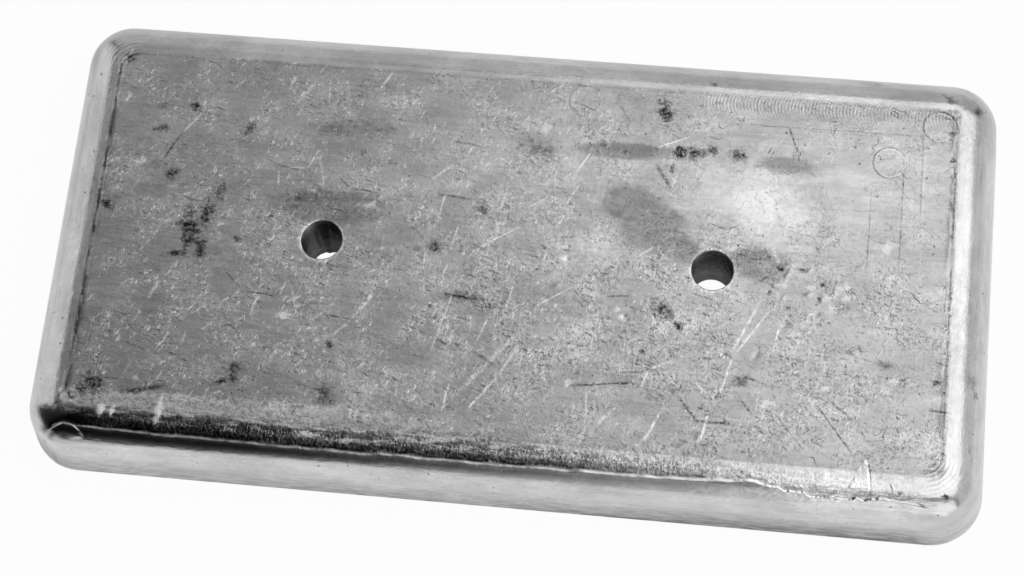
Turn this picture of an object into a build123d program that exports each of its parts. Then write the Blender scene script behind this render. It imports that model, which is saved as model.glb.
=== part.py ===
"""Rectangular plate anode for a hull, gravity cast in one piece in aluminium alloy.

The flat back (z = 0) bolts against the hull and the rounded face looks outwards (+Z). The origin
is midway between the two stud holes, on the back. +X runs along the plate, and the long side that
the metal was fed through, with its dressed pad, faces -Y. Millimetres.
"""
import os
from math import cos, radians, sin, tan

from build123d import *

# Plate
plate_length = 305.0
plate_width = 152.0
plate_thickness = 27.0
corner_radius = 17.0  # of the plan, at the back
edge_round = 13.0  # round-over between the walls and the face
wall_draft = 7.0  # degrees each wall leans in, so the casting leaves the die
back_edge_break = 0.6

# Stud holes, clearance for two M12 studs
stud_pitch = 125.0
stud_hole_diameter = 13.0
hole_deburr = 0.5

# Dressed feeder pad on the front wall
pad_half_length = 142.5
pad_end_radius = 7.0
pad_proud = 0.4
pad_edge_angle = 32.0  # degrees round the edge, down from the face, where the pad starts

# Witness line that the die's milled floor leaves just inside the round-over
witness_gap = 0.5
witness_width = 0.7
witness_depth = 0.25
witness_corner_radius = 4.0


def wall_height():
    """Height at which the drafted wall runs into the round-over."""
    return plate_thickness - edge_round * (1 - sin(radians(wall_draft)))


def face_inset():
    """Distance from the back's outline to the edge of the flat face."""
    draft = radians(wall_draft)
    return wall_height() * tan(draft) + edge_round * cos(draft)


def drafted_plate(grow):
    """The plate's body with every outer surface moved out by grow, except the back."""
    outline = RectangleRounded(
        plate_length + 2 * grow, plate_width + 2 * grow, corner_radius + grow
    )
    slab = extrude(outline, amount=plate_thickness + grow, taper=wall_draft)
    slab = chamfer(slab.faces().sort_by(Axis.Z)[0].edges(), back_edge_break)
    return fillet(slab.faces().sort_by(Axis.Z)[-1].edges(), edge_round + grow)


def feeder_pad():
    """A skin over the front wall and part of its round-over, with rounded ends."""
    angle = radians(pad_edge_angle)
    pad_top = plate_thickness - edge_round * (1 - cos(angle))
    pad_inner_y = -(plate_width / 2 - face_inset())
    outline = Plane.XZ * Pos(0, pad_top / 2) * Rectangle(2 * pad_half_length, pad_top)
    window = extrude(outline, amount=plate_width)
    upper_corners = window.edges().filter_by(Axis.Y).group_by(Axis.Z)[-1]
    window = fillet(upper_corners, pad_end_radius)
    window = window & Pos(0, pad_inner_y - plate_width / 2, 0) * Box(
        plate_length * 2, plate_width, plate_thickness * 4
    )
    return drafted_plate(pad_proud) & window


def witness_groove():
    """The ring that the face's witness line removes, a rounded rectangle in plan."""
    outer_length = plate_length - 2 * (face_inset() + witness_gap)
    outer_width = plate_width - 2 * (face_inset() + witness_gap)
    outer = RectangleRounded(outer_length, outer_width, witness_corner_radius)
    inner = RectangleRounded(
        outer_length - 2 * witness_width,
        outer_width - 2 * witness_width,
        witness_corner_radius - witness_width,
    )
    return Pos(0, 0, plate_thickness - witness_depth) * extrude(outer - inner, amount=plate_thickness)


def stud_hole(centre_x):
    """A through hole with both mouths deburred."""
    radius = stud_hole_diameter / 2
    profile = Polyline(
        (0, 0),
        (radius + hole_deburr, 0),
        (radius, hole_deburr),
        (radius, plate_thickness - hole_deburr),
        (radius + hole_deburr, plate_thickness),
        (0, plate_thickness),
        close=True,
    )
    section = make_face(Plane.XZ * profile)
    return Pos(centre_x, 0, 0) * revolve(section, Axis.Z)


def anode_plate():
    """The whole casting: plate, feeder pad, witness line and stud holes."""
    casting = drafted_plate(0) + feeder_pad()
    casting -= witness_groove()
    for side in (-1, 1):
        casting -= stud_hole(side * stud_pitch / 2)
    return casting


os.makedirs("parts", exist_ok=True)
export_step(anode_plate(), "parts/anode_plate.step")
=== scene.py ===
"""Looks of a cast plate anode for a ship's hull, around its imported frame."""
from math import cos, pi, radians, sin, sqrt, tan

import bmesh
import bpy
import numpy as np
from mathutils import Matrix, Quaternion, Vector, noise


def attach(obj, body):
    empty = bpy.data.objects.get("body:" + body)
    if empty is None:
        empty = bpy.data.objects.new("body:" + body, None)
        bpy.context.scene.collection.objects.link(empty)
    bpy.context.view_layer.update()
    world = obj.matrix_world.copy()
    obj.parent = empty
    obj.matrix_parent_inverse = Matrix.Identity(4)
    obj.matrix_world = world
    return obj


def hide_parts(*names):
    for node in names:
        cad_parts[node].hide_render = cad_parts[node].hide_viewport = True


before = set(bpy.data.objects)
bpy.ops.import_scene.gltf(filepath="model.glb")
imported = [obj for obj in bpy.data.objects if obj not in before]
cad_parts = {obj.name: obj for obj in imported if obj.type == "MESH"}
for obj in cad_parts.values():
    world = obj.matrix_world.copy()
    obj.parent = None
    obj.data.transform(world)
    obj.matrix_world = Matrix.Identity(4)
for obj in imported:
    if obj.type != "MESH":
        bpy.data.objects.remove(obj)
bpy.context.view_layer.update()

# ----------------------------------------
# Cast plate
# One piece of aluminium alloy, gravity cast in a milled steel die. The walls
# lean in so it leaves the die, and the face runs round into them on a large
# radius. It is fed along one long side, where the feeder was broken off.
# ----------------------------------------
mm = 0.001
plate_length = 305.0 * mm
plate_width = 152.0 * mm
plate_thickness = 27.0 * mm
corner_radius = 17.0 * mm
edge_round = 13.0 * mm
wall_draft = radians(7.0)
skin = 0.25 * mm  # the face lies this far inside the nominal size, so burrs reach it
cut_spacing = 1.5 * mm
corner_steps = 12
round_over_steps = 13

wall_top = plate_thickness - edge_round * (1 - sin(wall_draft))
face_inset = wall_top * tan(wall_draft) + edge_round * cos(wall_draft)
core_x = plate_length / 2 - corner_radius
core_y = plate_width / 2 - corner_radius
face_reach = corner_radius - face_inset  # how far the flat face runs past the core
round_over_arc = edge_round * (pi / 2 - wall_draft)

bpy.ops.object.select_all(action="DESELECT")
bpy.ops.mesh.primitive_cube_add(
    size=1,
    location=(0, 0, plate_thickness / 2),
    scale=(plate_length, plate_width, plate_thickness),
)
plate = bpy.context.object
plate.name = "cast_plate"
bpy.ops.object.transform_apply(location=True, rotation=True, scale=True)


def pick(thing, kind, wanted):
    """Selects the edges or faces of a thing, in edit mode, for which wanted(element) is true."""
    bpy.ops.object.mode_set(mode="EDIT")
    bpy.ops.mesh.select_all(action="DESELECT")
    bpy.ops.mesh.select_mode(type=kind)
    mesh = bmesh.from_edit_mesh(thing.data)
    mesh.normal_update()
    for element in mesh.edges if kind == "EDGE" else mesh.faces:
        element.select_set(wanted(element))
    mesh.select_flush_mode()
    bmesh.update_edit_mesh(thing.data)


pick(plate, "EDGE", lambda e: abs(e.verts[0].co.z - e.verts[1].co.z) > plate_thickness / 2)
bpy.ops.mesh.bevel(offset=corner_radius, segments=corner_steps, affect="EDGES")
pick(plate, "FACE", lambda f: f.normal.z < -0.5)
bpy.ops.mesh.delete(type="ONLY_FACE")
pick(plate, "EDGE", lambda e: all(v.co.z > plate_thickness * 0.9 for v in e.verts))
bpy.ops.mesh.bevel(offset=edge_round, segments=round_over_steps, affect="EDGES")
for axis, half_span in ((Vector((1, 0, 0)), core_x), (Vector((0, 1, 0)), core_y)):
    slices = round(2 * half_span / cut_spacing)
    for i in range(slices + 1):
        place = -half_span + 2 * half_span * i / slices
        bpy.ops.mesh.select_all(action="SELECT")
        bpy.ops.mesh.bisect(plane_co=axis * place, plane_no=axis)
pick(plate, "FACE", lambda f: len(f.verts) > 4)
bpy.ops.mesh.poke()
bpy.ops.object.mode_set(mode="OBJECT")


def vertex_places():
    """The plate's vertices as an array of x, y, z."""
    co = np.empty(len(plate.data.vertices) * 3)
    plate.data.vertices.foreach_get("co", co)
    return co.reshape(-1, 3)


def put_vertices(co):
    """Writes the array back to the plate's vertices."""
    plate.data.vertices.foreach_set("co", co.ravel())
    plate.data.update()


def in_plan(x, y):
    """Distance of a place from the plate's core rectangle in plan, and the way it points."""
    out_x = x - np.clip(x, -core_x, core_x)
    out_y = y - np.clip(y, -core_y, core_y)
    reach = np.hypot(out_x, out_y)
    safe = np.maximum(reach, 1e-9)
    return reach, out_x / safe, out_y / safe


def round_turn(reach, z):
    """How far round the edge's radius a place lies: 0 at the face, a quarter turn at the wall."""
    return np.arctan2(reach - face_reach, z - (plate_thickness - edge_round))


def settle():
    """Moves every vertex onto the true drafted and rounded surface, along its own section."""
    co = vertex_places()
    x, y, z = co.T
    reach, way_x, way_y = in_plan(x, y)
    angle = round_turn(reach, z)
    on_wall = (angle > pi / 2 - wall_draft) | (z < wall_top - edge_round / 2)
    on_round = (reach > face_reach) & ~on_wall
    new_reach = np.where(on_round, face_reach + edge_round * np.sin(angle), reach)
    new_reach = np.where(on_wall, corner_radius - z * tan(wall_draft), new_reach)
    co[:, 0] += way_x * (new_reach - reach)
    co[:, 1] += way_y * (new_reach - reach)
    co[:, 2] = np.where(on_round, plate_thickness - edge_round * (1 - np.cos(angle)), z)
    put_vertices(co)


def from_face_edge(x, y, z):
    """Distance round the section from the edge of the flat face: below zero on the face."""
    reach = in_plan(x, y)[0]
    inside = np.minimum(core_x - np.abs(x), core_y - np.abs(y)) + face_reach
    inside = np.where(reach > 0, face_reach - reach, inside)
    angle = round_turn(reach, z)
    down_wall = round_over_arc + (wall_top - z) / cos(wall_draft)
    outside = np.where(angle > pi / 2 - wall_draft, down_wall, edge_round * angle)
    return np.where(inside >= 0, -inside, outside)


def along_rim(x, y):
    """Distance along the rim from the middle of the front, either way round to the back's."""
    mean_radius = corner_radius - 3.0 * mm
    quarter = mean_radius * pi / 2
    out_x, out_y = np.abs(x) - core_x, np.abs(y) - core_y
    turn = np.arctan2(np.maximum(out_x, 0), np.maximum(out_y, 1e-9)) * mean_radius
    ahead = np.minimum(np.abs(x), core_x) + turn
    beside = core_x + quarter + core_y + np.clip(y, -core_y, core_y)
    behind = 2 * (core_x + quarter + core_y) - ahead
    at_end = (out_y < 0) & (out_x > out_y)
    return np.where(at_end, beside, np.where(y < 0, ahead, behind))


def refine(wanted):
    """Splits the faces whose middle is wanted into four, and settles the new vertices."""
    bpy.ops.object.mode_set(mode="EDIT")
    mesh = bmesh.from_edit_mesh(plate.data)
    mesh.faces.index_update()
    chosen = wanted(*np.array([f.calc_center_median() for f in mesh.faces]).T)
    pick(plate, "FACE", lambda f: bool(chosen[f.index]))
    bpy.ops.mesh.subdivide(number_cuts=1)
    bpy.ops.object.mode_set(mode="OBJECT")
    settle()


def ramp(value, start, end):
    """Rises from 0 where the value is start to 1 where it is end, eased at both."""
    share = np.clip((value - start) / (end - start), 0, 1)
    return share * share * (3 - 2 * share)


def bell(distance, half_width):
    """A rounded hump, 1 at no distance and 0.37 at half_width."""
    return np.exp(-((distance / half_width) ** 2))


settle()

# What the face carries: two stud holes, and marks whose places the mesh has to be fine for.
stud_pitch = 125.0 * mm
stud_hole_radius = 6.5 * mm

# Burrs, smears and chips: x, y, half length, half width in mm, turn in degrees, height in mm.
lumps = [
    (-124.6, -62.2, 2.6, 0.9, 75, 0.22), (-121.3, -62.6, 2.2, 0.8, 70, 0.2),
    (-106.2, -60.5, 4.0, 1.0, 82, 0.2), (58.5, -57.5, 3.0, 1.2, 20, 0.2),
    (62.5, -54.5, 2.0, 1.0, 60, 0.2), (66.5, -56.5, 1.6, 0.9, 10, 0.16),
    (86.0, 0.5, 2.4, 0.7, 60, 0.24), (93.0, -5.5, 1.8, 0.8, 30, 0.24),
    (101.0, -4.0, 2.2, 0.6, 80, 0.22), (14.0, -9.0, 1.6, 0.8, 30, 0.16),
    (-74.0, -9.5, 1.2, 0.9, 0, 0.14), (-6.0, 2.0, 1.4, 0.9, 40, 0.12),
    (86.5, -16.0, 1.6, 1.2, 0, -0.25), (96.0, -12.0, 1.3, 0.9, 30, -0.22),
    (104.5, -9.0, 1.5, 1.1, 0, -0.22), (78.0, -27.0, 2.4, 1.0, 60, -0.18),
    (38.0, -15.0, 1.8, 1.0, 0, -0.16), (-56.0, -51.0, 2.0, 1.2, 80, -0.14),
    (16.4, -0.2, 1.0, 0.9, 0, -0.45), (36.1, -18.0, 1.0, 0.9, 0, -0.45),
    (82.3, -3.3, 1.1, 0.8, 30, 0.22), (80.3, -5.9, 0.9, 0.8, 0, -0.35),
    (92.9, 2.6, 1.3, 0.7, 40, 0.22), (97.2, -7.1, 1.5, 0.8, 70, 0.22),
    (-104.5, 37.0, 1.4, 0.6, 60, 0.16), (-66.0, 19.0, 1.8, 0.9, 0, 0.14),
    (-50.0, 12.0, 2.4, 0.9, 20, 0.14),
]

# Single scratches and rubs, and two painted shadow lines: from x, y to x, y, half width in mm, how
# much brighter or darker.
strokes = [
    (-108, 40, -113, 33, 0.23, 0.8), (-46.5, 60.5, -50.5, 53.5, 0.26, 0.7),
    (-71, 55.5, -77, 46.5, 0.7, 0.25), (-94.5, 54, -98.5, 50, 0.23, 0.5),
    (-79, 17.5, -79.5, 23, 0.26, 0.9), (-77.5, 23.8, -70.5, 24.2, 0.2, 0.6),
    (-70.3, 24, -68.5, 28.3, 0.23, 0.8), (-67, 29, -64, 18.5, 0.29, 0.35),
    (-5, 22.5, -6.6, 14.7, 0.26, 1), (-24.6, 19.8, -26.1, 9.3, 0.2, 0.7),
    (-19.2, 9, -21.1, -0.5, 0.23, 0.9), (9.2, 21.2, 2, 16.3, 0.2, 0.7),
    (0.4, 9.8, -12, 1.4, 0.23, 0.9), (21, 38, 16.4, 29.6, 0.23, 0.9),
    (18.2, 26.2, 14.2, 18.6, 0.23, 0.8), (13.6, 13.3, 11.8, 10.4, 0.29, 0.9),
    (52.7, 45.5, 41.2, 40.3, 0.2, 0.9), (-1.6, -2.3, -2.6, -4.6, 0.23, 0.8),
    (0.6, -9, -1.4, -18.8, 0.23, 0.9), (19.8, -8.7, 7, -17.3, 0.2, 0.8),
    (-23.2, 29.4, -30.2, 23.1, 0.35, 0.4), (43.7, 6.6, 38, 2.2, 0.23, 0.6),
    (-112.5, -17.5, -116, -26, 0.46, 0.6), (-106.5, -35, -110.7, -41.6, 0.35, 0.7),
    (-101.4, -34, -102.5, -39.6, 0.35, 0.8), (-72, -15, -73.4, -20, 0.23, 0.9),
    (-80.4, -20, -81.8, -27.4, 0.26, 0.8), (-70.3, -15.5, -67.2, -26.2, 0.23, 0.5),
    (-43, -16.5, -50.6, -27.2, 0.41, 0.5), (-50.6, -27.2, -54.8, -31.8, 0.35, 0.7),
    (-92, -40.3, -95, -43.2, 0.52, 0.4), (-116.4, -43.4, -119.8, -52.4, 0.35, 0.3),
    (-18, -12, -23.4, -35, 0.23, 0.9), (-6.6, -21.8, -9.6, -31.2, 0.35, 0.5),
    (3.3, -26, -15, -49.4, 0.64, 0.5), (4.1, -29.6, -1.4, -40.7, 0.26, 0.8),
    (-1.4, -40.7, -10.3, -53, 0.29, 0.9), (-16.2, -44, -17.7, -54, 0.29, 0.9),
    (50.2, -47.3, 45.7, -57.7, 0.29, 1), (36.7, -47, 30.3, -54, 0.35, 0.5),
    (53.4, -30, 44.9, -34.7, 0.29, 0.5), (44.9, -34.7, 43.2, -41.4, 0.26, 0.7),
    (26.5, -43, 27.3, -51.2, 0.2, 0.6), (81.3, -11.8, 70.8, -28.4, 0.29, 0.5),
    (78, -9.5, 70, -27.6, 0.41, 0.4), (70.8, -28.4, 67.3, -42.5, 0.29, 0.6),
    (65, -46, 63, -55.8, 0.29, 0.6), (84.8, -16.4, 83.1, -25.7, 0.29, 0.6),
    (59.9, -37.3, 63.2, -40.3, 0.29, 0.5), (-113, 33.3, -118, 23, 0.29, -0.6),
    (-82, 25, -71, 23, 0.23, -0.6), (-59.3, 21.6, -55.6, 18.4, 0.23, -0.7),
    (-55.6, 18.4, -45.8, 17.5, 0.26, -0.7), (41.3, 35.3, 47.7, 26, 0.46, -0.7),
    (-25.3, 37.6, -14.6, 36.3, 0.29, -0.5), (-27.7, 18.5, -15, 17.9, 0.35, -0.7),
    (12.3, 54.8, 22.1, 51.3, 0.23, -0.5), (83, 51.6, 87, 41.4, 0.29, -0.7),
    # From (-120.4, -56.6) to (-104.5, -52.7) is a painted shadow.
    (94, 11, 96, 8, 0.23, -0.6), (-120.4, -56.6, -104.5, -52.7, 0.75, -0.7),
    (-122.4, -39, -113, -41.8, 0.29, -0.5), (-84.6, -19.2, -74.4, -20.4, 0.23, -0.8),
    (-59.7, -25, -49, -26, 0.23, -0.7), (-93, -12.3, -86.3, -18.5, 0.23, -0.5),
    (-10.6, -33, -2.6, -37.2, 0.46, -0.6), (-22.4, -29.8, -16.5, -32.6, 0.35, -0.6),
    (21, -41.7, 42.2, -39, 0.26, -0.8), (35.7, -36, 44.2, -35.4, 0.23, -0.6),
    (54.8, -42, 61.7, -50.3, 0.35, -0.7), (29.5, -11.5, 38, -10.5, 0.23, -0.6),
    (-22.5, -14.8, -11.3, -15.9, 0.29, -0.7), (97.2, -40.7, 109.5, -56.1, 0.23, -0.8),
    (101.3, -39.5, 109, -45.3, 0.29, -0.7), (111.7, -48.3, 113, -50.6, 0.29, -0.7),
    (84.3, -44.3, 96, -57.7, 0.2, -0.4), (74.3, -34, 82.3, -36.4, 0.35, -0.6),
    (74.5, -42, 78.3, -46.4, 0.35, -0.7), (59.3, -49.7, 73.2, -49.8, 0.41, -0.6),
    (110.6, 34.7, 110.5, 0.7, 0.2, -0.35), (120.4, 46, 120.4, 1.6, 0.2, -0.35),
    (126, 60.3, 126.3, 20, 0.2, -0.35), (126.9, 60, 127.4, -38, 0.23, 0.12),
    (59.5, 16, 66, 14, 0.23, -0.6), (66, 14, 70.5, 16.6, 0.23, -0.5),
    (13.4, 7.3, 18.2, 7.7, 0.2, -0.6), (131.4, -40, 138.3, -40.3, 0.35, -0.6),
    (59, 50.8, 129, 51.2, 0.2, -0.3), (-60, 63, 20, 62.6, 0.17, -0.3),
    # From (114.5, -57.4) to (116.0, -66.4) is a painted shadow along the flake's lifted right side.
    (114.5, -57.4, 116.0, -66.4, 0.2, -0.9), (113.7, -57.6, 115.0, -66.4, 0.3, 0.9),
    (111.9, -63.2, 112.7, -65.5, 0.15, -0.8), (121.3, -64.2, 122.7, -66.6, 0.2, -0.9),
    (94.3, -66.1, 97.5, -68.4, 0.3, 0.8), (108.8, -65.8, 113.8, -58.0, 0.25, 0.6),
]

# Dark spots of burnt dressing: x, y, half length, half width in mm, turn in degrees, how dark;
# below zero is a clean bright place, or a painted highlight where one sits on a raised burr.
spots = [
    (-110, 43, 2.2, 1.6, 80, 1.22), (-120, 42.5, 2.6, 1.8, 20, 0.5),
    (-120, 34.5, 3.4, 1.5, 10, 0.94), (-91, 36.5, 2.6, 1.8, 60, 1.22), (-53, 31, 1, 1.6, 0, 0.94),
    (-80, 7, 0.9, 0.7, 0, 1.62), (-133.5, 6.6, 2.4, 1.8, 0, 1.49), (-97, 14, 1.6, 4.2, 0, 0.8),
    (-100.5, 6, 2.4, 7, -6, 1.35), (-105.3, 0, 3.6, 7.5, 8, 1.49), (-101, -7, 2, 5, -5, 1.22),
    (-114, 18.4, 3.4, 2.6, 30, 0.94), (-108.3, -8.6, 4.5, 1.2, 10, 0.94),
    (-90, -2.2, 2, 1.2, -30, 0.94), (43.5, 53, 2.6, 6, 20, 1.22), (49.5, 39, 3.4, 2.4, -10, 1.76),
    (54.5, 39.2, 5, 2.6, 5, 1.08), (59.3, 40.6, 2, 2, 0, 1.62), (67.5, 40, 3.6, 2.4, -10, 1.08),
    (47.2, 33.7, 1, 2.2, 0, 1.22), (-12.4, 15.2, 2.6, 2.6, 0, 1.08), (4, 36.5, 8, 4.2, -20, 0.6),
    (-26, 0.2, 2.6, 2.6, 0, 0.94), (-14.5, -15.6, 9, 2, -3, 0.81),
    (-84, -46.6, 2.4, 3.4, -20, 1.22), (-88.2, -50, 2.4, 1.2, 30, 1.08),
    (-55.5, -35.2, 1.4, 2.6, 10, 1.08), (-55, -52, 4, 3.6, 60, 0.8), (-7, -18.5, 3, 1.8, 20, 0.94),
    (53, -19.2, 2.4, 1.6, -40, 1.62), (48, -14.6, 5, 3, -35, 0.94),
    (42.8, -28.7, 1.2, 0.8, -50, 1.49), (118, -27, 3.4, 1.6, -20, 0.5),
    (74, -35.4, 3.4, 2.4, 0, 0.81), (133.6, -31, 1.6, 1.1, 0, 1.22), (110, 69.5, 6, 1.8, -10, 0.4),
    (134, 65, 4, 1.6, -20, 1.08), (135.3, 52.7, 1.1, 1.2, 0, 1.35), (135.7, 43.5, 1.2, 1, 0, 1.49),
    (136, 26, 1.2, 6, 0, 0.7), (143, 61.4, 1.6, 2, 0, 1.08), (142.4, 51, 0.8, 0.8, 0, 1.08),
    (146.4, -33, 0.8, 2, 0, 1.22), (144.2, -28.8, 3, 3, 0, 0.4), (145.2, -51.6, 1, 1.2, 0, 1.08),
    (84, 2.2, 1.2, 1, 0, 1.35), (111, 10.5, 1.4, 1.2, 0, 0.5), (58.3, 64, 1.6, 0.7, 0, 1.08),
    (81.3, 65, 1, 0.6, 0, 1.08), (97, -2, 1, 0.8, 0, 1.35), (90.5, 2.5, 1.4, 1, 0, 1.22),
    (-128, -54, 5, 3.6, -50, 1.35), (-125, 22, 3, 1.6, 30, -0.5), (-68, 17, 2.4, 1, 0, -0.8),
    (-49, 13, 3.6, 1.6, 20, -0.6), (5.7, 44.5, 1.6, 4, -30, -0.9), (16, 0.3, 1.8, 1.8, 0, -0.7),
    (-71.5, -26.7, 2.6, 1.2, 0, -0.8), (35.6, -18.2, 1.8, 1.8, 0, -0.7),
    (20.7, -41, 1.6, 1.2, 40, -1), (121, -31.7, 3, 1.2, 10, -0.9), (118.6, -34.8, 2, 2, 0, -0.7),
    (100, -35.8, 1.4, 1, 0, -1), (105, -2.3, 2, 1.4, 0, -0.8), (99.7, -6.5, 3, 2, 30, -0.6),
    (83.4, -42, 2.2, 1.4, 0, -0.8), (116.6, 11.3, 1.6, 1.6, 0, -1), (81.6, 6.7, 1.2, 2.4, 0, -0.8),
    (97.2, -40.6, 1.2, 1, 0, -1), (99, -45.2, 1.4, 1, 0, -0.9), (-113.5, 14.5, 3.4, 1.4, -10, -0.5),
    # The bright ones from here up to (82.8, 4.9) sit on raised burrs: painted highlights.
    (-124.6, -62.4, 3.2, 1.3, 75, -1.5), (-120.9, -62.8, 2.8, 1.1, 70, -1.4),
    (-106.2, -60.8, 4.8, 1.2, 82, -1.4), (85, -3.2, 1.3, 0.9, 20, -1.6),
    (93.2, -3, 1.6, 1, 0, -1.6), (105.4, -5.8, 1.3, 1.2, 0, -1.5), (101, -9.2, 1.8, 0.9, -20, -1.5),
    (82.8, 4.9, 0.8, 1.6, 0, -1.6), (15.3, 4, 1, 0.9, 0, -1.6), (33.5, -15.6, 1, 0.9, 0, -1.6),
    (87.2, -10.4, 0.9, 0.8, 0, 1.9), (96.3, -6.7, 0.8, 0.7, 0, 2), (15.6, 2.8, 1, 0.6, 0, 1.9),
    (-57, -64.4, 4.8, 1, 2, -1.3), (-47, -65.4, 3.2, 0.8, 0, -1.2), (-20, -63.6, 4, 0.8, 2, -0.9),
    (124.7, -66.8, 1.1, 0.8, 0, 1.89), (138.2, -66.5, 1.5, 0.8, 0, 1.89),
    (-131.5, -56.5, 3.6, 2.6, -60, 1.22), (-134, 58.6, 2.8, 2.0, 45, 1.1),
    (95.8, -67.2, 2, 0.9, -40, -0.8),
]

# Soft places where the skin was wiped dull or polished: as the spots, below zero is brighter.
stains = [
    (36, 20, 10, 6.5, -5, 1.0), (46, 15.5, 9, 5.5, -20, 0.8), (41, 9.5, 10, 5, -10, 0.85),
    (51, 6.5, 8, 5, -20, 0.8), (76.5, 3.2, 10, 6, -5, 0.85), (-54, 39.5, 20, 3.8, 1.5, 0.5),
    (-60, 11.5, 19, 6.5, 3, 0.8), (31, 38.5, 15, 2.8, 1, 1.0), (83.5, 37.6, 10, 3, 0, 0.8),
    # The two at x 140 only make the right round-over darker, except at its front end.
    (80, 23, 15, 11, -30, -1.0), (140, 56, 6, 17, 0, 0.4), (140, -12, 5, 26, 0, 0.35),
    (86, 15, 10, 8, 0, -0.5), (25, 6.5, 6, 4, 0, -0.5), (63, 30, 8, 5, 0, -0.5),
    (102, 28, 12, 10, 0, -0.25), (-112, 30, 10, 5, 60, 0.25), (16, -30, 14, 8, 20, -0.2),
]

# Rings where the cutter was plunged into the die: x, y in mm, and how strongly they show.
cutter_radius = 5.3 * mm
plunges = [
    (115.9, 41.2, 1.0), (131.2, 54.8, 0.9), (17.2, 55.0, 0.5), (-123.0, -46.7, 0.5),
    (105.8, -31.0, 0.4), (129.0, 40.5, 0.3),
]


def from_stroke(x, y, stroke):
    """Distance of a place along a stroke and across it, in mm, and how long the stroke is."""
    x0, y0, x1, y1 = stroke[:4]
    length = sqrt((x1 - x0) ** 2 + (y1 - y0) ** 2)
    along = ((x / mm - x0) * (x1 - x0) + (y / mm - y0) * (y1 - y0)) / length
    across = ((y / mm - y0) * (x1 - x0) - (x / mm - x0) * (y1 - y0)) / length
    return along, across, length


def from_spot(x, y, spot):
    """Distance of a place from a spot's or lump's middle, where 1 is on its outline."""
    spot_x, spot_y, half_long, half_wide = (v * mm for v in spot[:4])
    out_x, out_y, turn = x - spot_x, y - spot_y, radians(spot[4])
    along = (out_x * cos(turn) + out_y * sin(turn)) / half_long
    across = (out_y * cos(turn) - out_x * sin(turn)) / half_wide
    return np.hypot(along, across)


def from_ring(x, y, plunge):
    """Distance of a place outside the ring that a plunge of the cutter left."""
    return np.hypot(x - plunge[0] * mm, y - plunge[1] * mm) - cutter_radius


def from_hole(x, y):
    """Distance of a place outside the nearer stud hole's wall, and which way round it lies."""
    out_x = x - np.copysign(stud_pitch / 2, x)
    return np.hypot(out_x, y) - stud_hole_radius, np.arctan2(y, out_x)


def near_marks(x, y, room):
    """True where a place lies within room of a mark of the face that a coarse mesh would blur."""
    near = from_hole(x, y)[0] < 2.0 * mm + room
    for lump in lumps:
        near |= np.hypot(x - lump[0] * mm, y - lump[1] * mm) < (lump[2] + 1.0) * mm + room
    for plunge in plunges:
        near |= np.abs(from_ring(x, y, plunge)) < 0.5 * mm + room * 0.7
    if room == 0:  # what is only painted is left out of the finest zone
        return near
    for stroke in strokes:
        along, across, length = from_stroke(x, y, stroke)
        near |= (np.abs(across) < stroke[4] + 1.4) & (along > 0) & (along < length)
    for spot in spots:
        if spot[3] < 3:
            near |= from_spot(x, y, spot) < 1.3
    return near


def fine_zone(x, y, z, room):
    """True where the mesh is refined, with a border of the given width."""
    edge = from_face_edge(x, y, z)
    on_front = y < -core_y
    front_band = on_front & (edge > -4.5 * mm - room) & (edge < 12.5 * mm + room)
    by_corner = on_front & (edge > 0) & (edge < 24 * mm) & (np.abs(x) > core_x - 2 * mm)
    witness = np.abs(edge + 0.9 * mm) < 1.3 * mm + room
    marked = near_marks(x, y, room) & (z > plate_thickness - 0.5 * mm)
    return (z > 1 * mm) & (front_band | by_corner | witness | marked)


refine(lambda x, y, z: fine_zone(x, y, z, 1.6 * mm))
refine(lambda x, y, z: fine_zone(x, y, z, 0.0))


def ripple(co, size, seed):
    """Smooth noise between about -1 and 1 at each place, with features of the given size."""
    shift = Vector((seed * 7.31, seed * 3.17, seed * 5.53))
    return np.array([noise.noise(Vector(p) / size + shift) for p in co]) * 1.6


# The feeder pad stands a little proud of the front wall and reaches up over the round-over. Its
# upper edge is a thin flash line, and the metal above that is torn.
pad_proud = 0.4 * mm
pad_proud_right = 0.25 * mm  # where it is ragged, towards the right end
pad_half_length = 143.0 * mm
pad_end_radius = 7.5 * mm
pad_edge = [  # how far along the front, and how far from the face's edge, in mm
    (-143, 6.4), (-136, 6.2), (-124, 6.8), (-102, 7.2), (-36.6, 7.8), (-35.6, 7.3), (0, 7.6),
    (30, 7.1), (48, 7.0), (66, 6.4), (79, 5.4), (85, 6.2), (90, 7.4), (94, 7.5), (98, 9.2),
    (104, 9.0), (114, 8.4), (119, 7.8), (125, 8.1), (134, 9.0), (143, 10.0),
]
pad_along, pad_start = np.array(pad_edge).T * mm
torn_along = (-142, -130, -70, 0, 50, 90, 128, 136)
torn_share = (0, 0.5, 0.6, 0.9, 0.8, 0.5, 0.4, 0)


def along_front(x, y):
    """Distance along the rim from the middle of the front: below zero to the left."""
    return np.sign(x) * along_rim(x, y)


def front_share(x, y):
    """1 along the feeder's side, falling to 0 round its two corners."""
    return ramp(-in_plan(x, y)[2], 0.15, 0.75)


def ragged_share(front):
    """1 where the flash line is ragged, towards the right end."""
    return ramp(front, 70 * mm, 90 * mm) * ramp(front, 132 * mm, 124 * mm)


def plan_of(along, across):
    """Places laid out flat, as x, y, z."""
    return np.stack([along, across, np.zeros(len(along))], axis=1)


def outside_box(out_x, out_y, radius):
    """Distance outside a box with round corners, from how far a place is past their centres."""
    past_both = (out_x > 0) & (out_y > 0)
    return np.where(past_both, np.hypot(out_x, out_y), np.maximum(out_x, out_y)) - radius


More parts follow.
